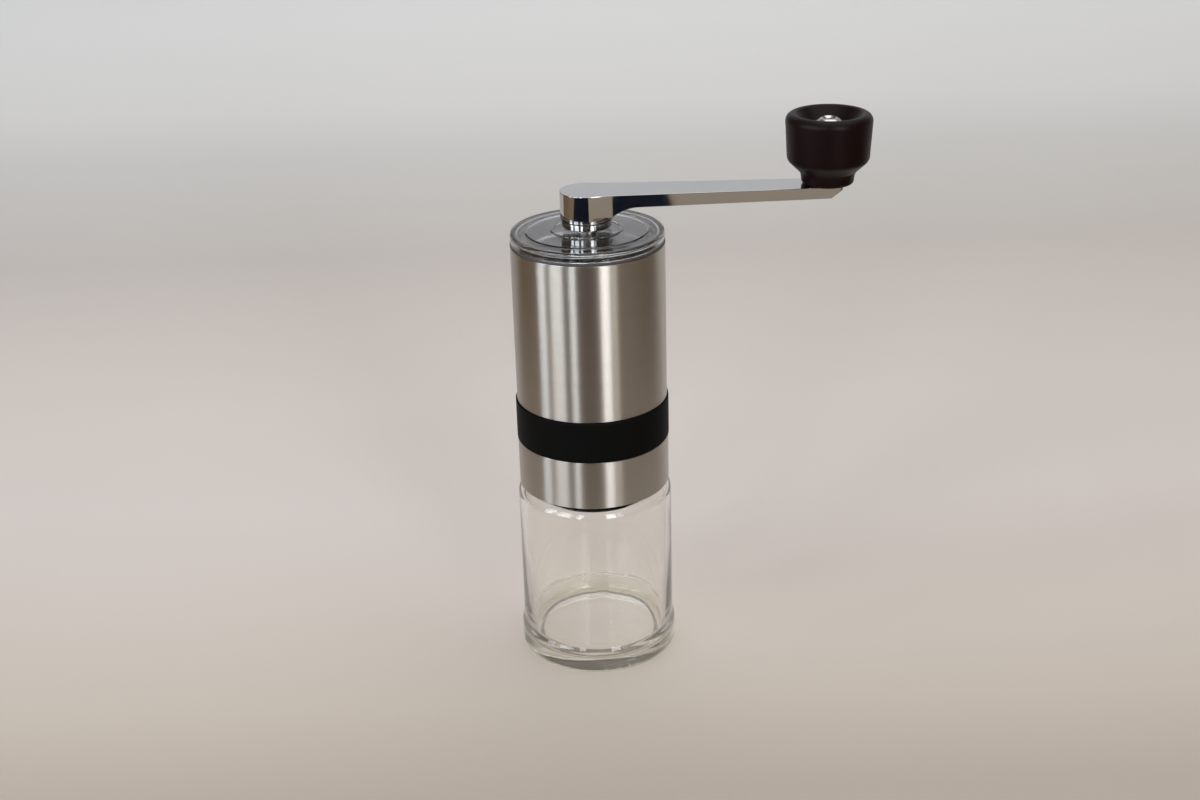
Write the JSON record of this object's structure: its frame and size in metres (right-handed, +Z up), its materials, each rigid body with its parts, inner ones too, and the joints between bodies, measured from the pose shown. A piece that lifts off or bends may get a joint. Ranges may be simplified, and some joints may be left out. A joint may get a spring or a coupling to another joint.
{
  "type": "manual coffee grinder",
  "caption": "Tall round manual coffee grinder: glass jar below, steel-clad hopper above, clear lid, conical burrs on a shaft, and a crank arm with a turning knob.",
  "frame": {"origin": "centre of the flat ring that the jar stands on", "axes": "+Z up along the grinder's own axis, +X along the crank arm at rest"},
  "size_m": [0.1406, 0.0644, 0.2238],
  "materials": {
    "jar_glass": "clear, faintly green in the thick heel",
    "gasket_silicone": "matt, milky",
    "band_silicone": "matt black",
    "brushed_steel": "fine brushing round the tube",
    "hopper_plastic": "smooth satin",
    "inner_plastic": "satin moulding",
    "bush_plastic": "natural acetal",
    "nut_plastic": "satin moulding",
    "clear_plastic": "clear and polished",
    "ceramic": "matt white",
    "screw_steel": "plain zinc plated",
    "shaft_steel": "ground",
    "spring_steel": "drawn wire and thin strip",
    "brass": "turned",
    "crank_chrome": "polished",
    "knob_plastic": "satin, very dark brown",
    "black_steel": "blackened and polished"
  },
  "bodies": {
    "jar": {"glass_jar": "jar_glass"},
    "gasket": {"jar_gasket": "gasket_silicone"},
    "housing": {"grinding_head": "inner_plastic", "lower_sleeve": "brushed_steel", "grip_band": "band_silicone", "upper_sleeve": "brushed_steel", "hopper": "hopper_plastic", "lower_bridge": "inner_plastic", "lower_bush": "bush_plastic", "upper_bridge": "inner_plastic", "upper_bush": "bush_plastic", "housing_screws": "screw_steel", "outer_burr": "ceramic", "burr_retainer": "inner_plastic", "retainer_screws": "screw_steel"},
    "drive": {"drive_shaft": "shaft_steel", "thrust_washer": "shaft_steel", "spring_washer": "shaft_steel", "burr_spring": "spring_steel"},
    "burr_set": {"inner_burr": "ceramic", "burr_carrier": "inner_plastic", "click_plate": "spring_steel"},
    "adjuster": {"adjusting_nut": "nut_plastic", "nut_insert": "brass"},
    "crank": {"crank_arm": "crank_chrome", "knob_bush": "shaft_steel", "knob_washer": "shaft_steel", "knob_screw": "black_steel"},
    "turning_knob": {"knob": "knob_plastic"},
    "lid_body": {"lid": "clear_plastic"}
  },
  "joints": [
    {"name": "housing_rise", "type": "slide", "parent": "jar", "child": "gasket", "axis": [0, 0, 1], "range_m": [0, 0.0351]},
    {"name": "housing_turn", "type": "hinge", "parent": "gasket", "child": "housing", "pos_m": [0, 0, 0], "axis": [0, 0, 1], "range_deg": [0, 900]},
    {"name": "drive_spin", "type": "hinge", "parent": "housing", "child": "drive", "pos_m": [0, 0, 0], "axis": [0, 0, 1], "continuous": true},
    {"name": "burr_shift", "type": "slide", "parent": "drive", "child": "burr_set", "axis": [0, 0, 1], "range_m": [-0.0012, 0.0004], "deforming": ["burr_spring"]},
    {"name": "adjuster_turn", "type": "hinge", "parent": "burr_set", "child": "adjuster", "pos_m": [0, 0, 0], "axis": [0, 0, 1], "range_deg": [-541, 181]},
    {"name": "crank_lift", "type": "slide", "parent": "drive", "child": "crank", "axis": [0, 0, 1], "range_m": [0, 0.06]},
    {"name": "lid_lift", "type": "slide", "parent": "housing", "child": "lid_body", "axis": [0, 0, 1], "range_m": [0, 0.03]},
    {"name": "knob_spin", "type": "hinge", "parent": "crank", "child": "turning_knob", "pos_m": [0.092, 0, 0], "axis": [0, 0, 1], "continuous": true}
  ],
  "couplings": [
    {"joint": "housing_rise", "follows": "housing_turn", "m_per_rad": 0.0022282},
    {"joint": "adjuster_turn", "follows": "burr_shift", "rad_per_m": 7854},
    {"joint": "lid_lift", "follows": "crank_lift", "ratio": 0.5}
  ]
}
